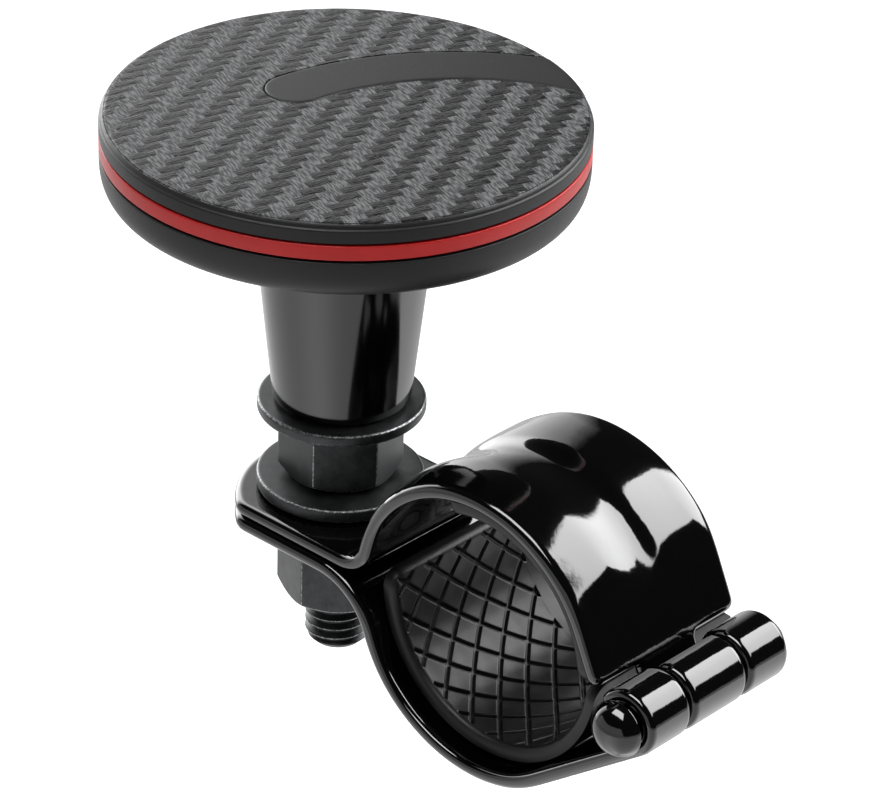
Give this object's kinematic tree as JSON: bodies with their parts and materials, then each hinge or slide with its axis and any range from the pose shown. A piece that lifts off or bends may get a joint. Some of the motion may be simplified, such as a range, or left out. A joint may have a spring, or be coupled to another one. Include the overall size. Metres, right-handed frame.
{
  "type": "steering wheel spinner knob",
  "caption": "Round spinner knob with a red trim ring on a tapered stem and threaded stud, carried by a hinged two-part clamp with rubber pads that grips a wheel rim.",
  "frame": {"origin": "centre of the clamp's bore, on the plane where the two ears meet, halfway along the bore", "axes": "+Y along the bore, +X from the ears to the hinge, +Z from the clamp up along the knob's stud"},
  "size_m": [0.0876, 0.0562, 0.0714],
  "materials": {
    "embossed_plastic": "black plastic with an embossed twill film",
    "satin_plastic": "satin black",
    "red_plastic": "satin red",
    "gloss_plastic": "polished black",
    "black_enamel": "high gloss black enamel on pressed steel",
    "black_rubber": "matt with a diamond grid of grooves",
    "blackened_steel": "black oxide",
    "bright_steel": "ground",
    "sintered_bronze": "oiled"
  },
  "bodies": {
    "upper_clamp": {"clamp_upper": "black_enamel", "pad_upper": "black_rubber", "hinge_pin": "black_enamel", "axle_stud": "blackened_steel", "ear_washer": "blackened_steel", "jam_nut": "blackened_steel", "stem_washer": "blackened_steel", "bearing_spacer": "bright_steel", "bearing_inner_race": "bright_steel", "retaining_clip": "bright_steel"},
    "knob": {"knob_cap": "embossed_plastic", "cap_inlay": "satin_plastic", "trim_ring": "red_plastic", "knob_base": "satin_plastic", "stem_sleeve": "gloss_plastic", "stem_bush": "sintered_bronze", "bearing_outer_race": "bright_steel"},
    "ball_cage": {"bearing_cage": "sintered_bronze", "bearing_ball_1": "bright_steel", "bearing_ball_2": "bright_steel", "bearing_ball_3": "bright_steel", "bearing_ball_4": "bright_steel", "bearing_ball_5": "bright_steel", "bearing_ball_6": "bright_steel", "bearing_ball_7": "bright_steel", "bearing_ball_8": "bright_steel"},
    "lower_jaw": {"clamp_lower": "black_enamel", "pad_lower": "black_rubber"},
    "loose_nut": {"clamp_nut": "blackened_steel"}
  },
  "joints": [
    {"name": "knob_spin", "type": "hinge", "parent": "upper_clamp", "child": "knob", "pos_m": [-0.0322, 0, 0.03], "axis": [0, 0, 1], "continuous": true},
    {"name": "cage_spin", "type": "hinge", "parent": "upper_clamp", "child": "ball_cage", "pos_m": [-0.0322, 0, 0.0461], "axis": [0, 0, 1], "continuous": true},
    {"name": "jaw_swing", "type": "hinge", "parent": "upper_clamp", "child": "lower_jaw", "pos_m": [0.0231, 0, -0.00045], "axis": [0, -1, 0], "range_deg": [0, 60]},
    {"name": "nut_travel", "type": "slide", "parent": "upper_clamp", "child": "loose_nut", "axis": [0, 0, -1], "range_m": [0, 0.073]}
  ],
  "couplings": [
    {"joint": "cage_spin", "follows": "knob_spin", "ratio": 0.611},
    {"joint": "nut_travel", "follows": "jaw_swing", "m_per_rad": 0.069}
  ]
}
